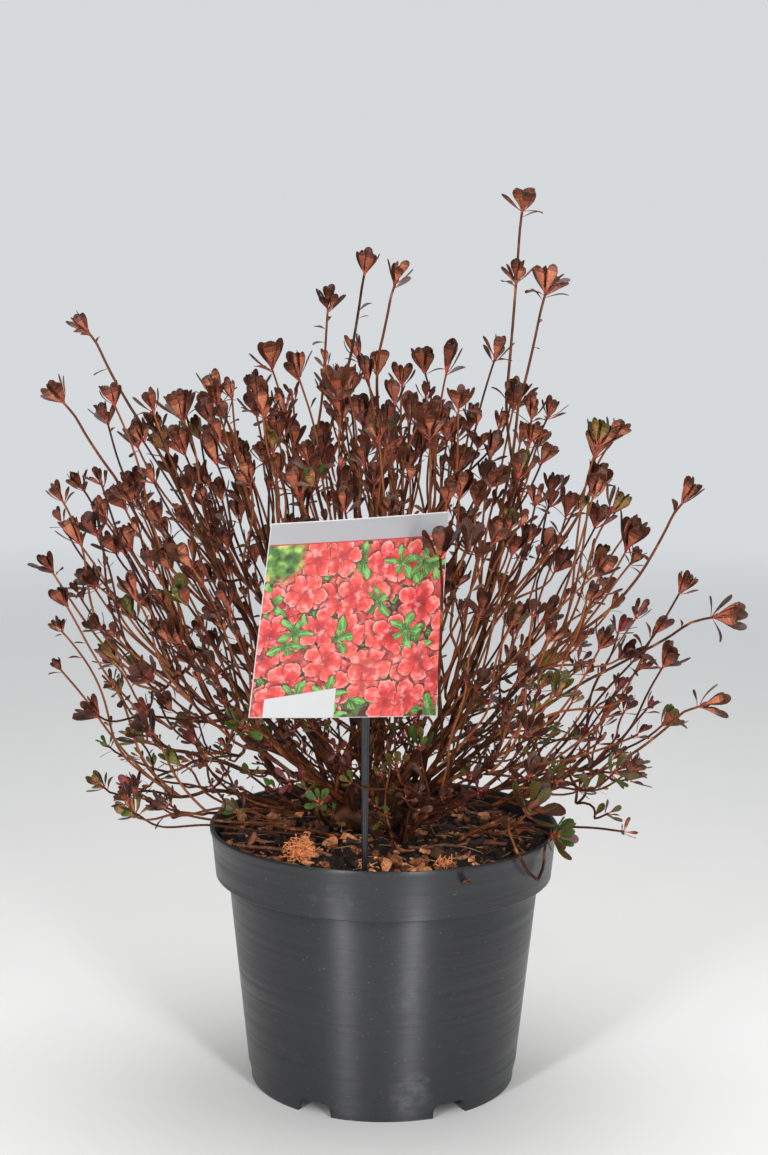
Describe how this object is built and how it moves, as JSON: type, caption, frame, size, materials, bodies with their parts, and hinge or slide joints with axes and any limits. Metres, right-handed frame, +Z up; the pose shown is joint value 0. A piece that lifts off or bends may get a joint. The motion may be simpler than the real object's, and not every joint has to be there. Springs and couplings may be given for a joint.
{
  "type": "potted azalea shrub",
  "caption": "Low, bushy small-leaved azalea with bronze winter leaves, standing in its round plastic nursery pot with a picture label on a stick.",
  "frame": {"origin": "middle of the pot's underside, on the surface that it stands on", "axes": "+Z up through the crown, -Y towards the side that the label faces, +X to the right of that side"},
  "size_m": [0.539, 0.4406, 0.7302],
  "materials": {
    "pot": "satin dark grey moulded plastic with faint scuffs",
    "compost": "damp dark brown compost with bark chips, fibres and dry leaves",
    "bark": "rough grey-brown bark, peeling in fibres near the foot",
    "shoot": "smooth orange-brown young wood",
    "foliage": "small semi-gloss leaves, dark bronze above and red-brown below, a few olive green",
    "card": "printed plastic card: plain pale header over a pattern of red blossom and green leaves",
    "stick": "black moulded plastic"
  },
  "bodies": {
    "root": {"pot": "pot", "compost": "compost", "stem_foot": "bark", "label_card": "card", "label_stick": "stick", "mass_top_centre": "foliage", "mass_top_left": "foliage", "mass_top_right": "foliage", "mass_top_back": "foliage", "mass_top_front": "foliage", "mass_left": "foliage", "mass_right": "foliage", "mass_front_left": "foliage", "mass_front_right": "foliage", "mass_back_left": "foliage", "mass_back_right": "foliage", "mass_low_left": "foliage", "mass_low_right": "foliage", "mass_low_back": "foliage", "bough_top_centre": "bark", "bough_top_left": "bark", "bough_top_right": "bark", "bough_top_back": "bark", "bough_top_front": "bark", "bough_left": "bark", "bough_right": "bark", "bough_front_left": "bark", "bough_front_right": "bark", "bough_back_left": "bark", "bough_back_right": "bark", "bough_low_left": "bark", "bough_low_right": "bark", "bough_low_back": "bark", "shoot_tall_right": "shoot", "shoot_tall_right_side": "shoot", "shoot_centre_left": "shoot", "shoot_centre_right": "shoot", "shoot_upper_middle": "shoot", "shoot_upper_left": "shoot", "shoot_outer_left": "shoot", "shoot_far_right": "shoot", "shoot_outer_right": "shoot", "shoot_low_right": "shoot", "tuft_tall_right": "foliage", "tuft_tall_right_side": "foliage", "tuft_centre_left": "foliage", "tuft_centre_right": "foliage", "tuft_upper_middle": "foliage", "tuft_upper_left": "foliage", "tuft_outer_left": "foliage", "tuft_far_right": "foliage", "tuft_outer_right": "foliage", "tuft_low_right": "foliage"}
  },
  "joints": []
}
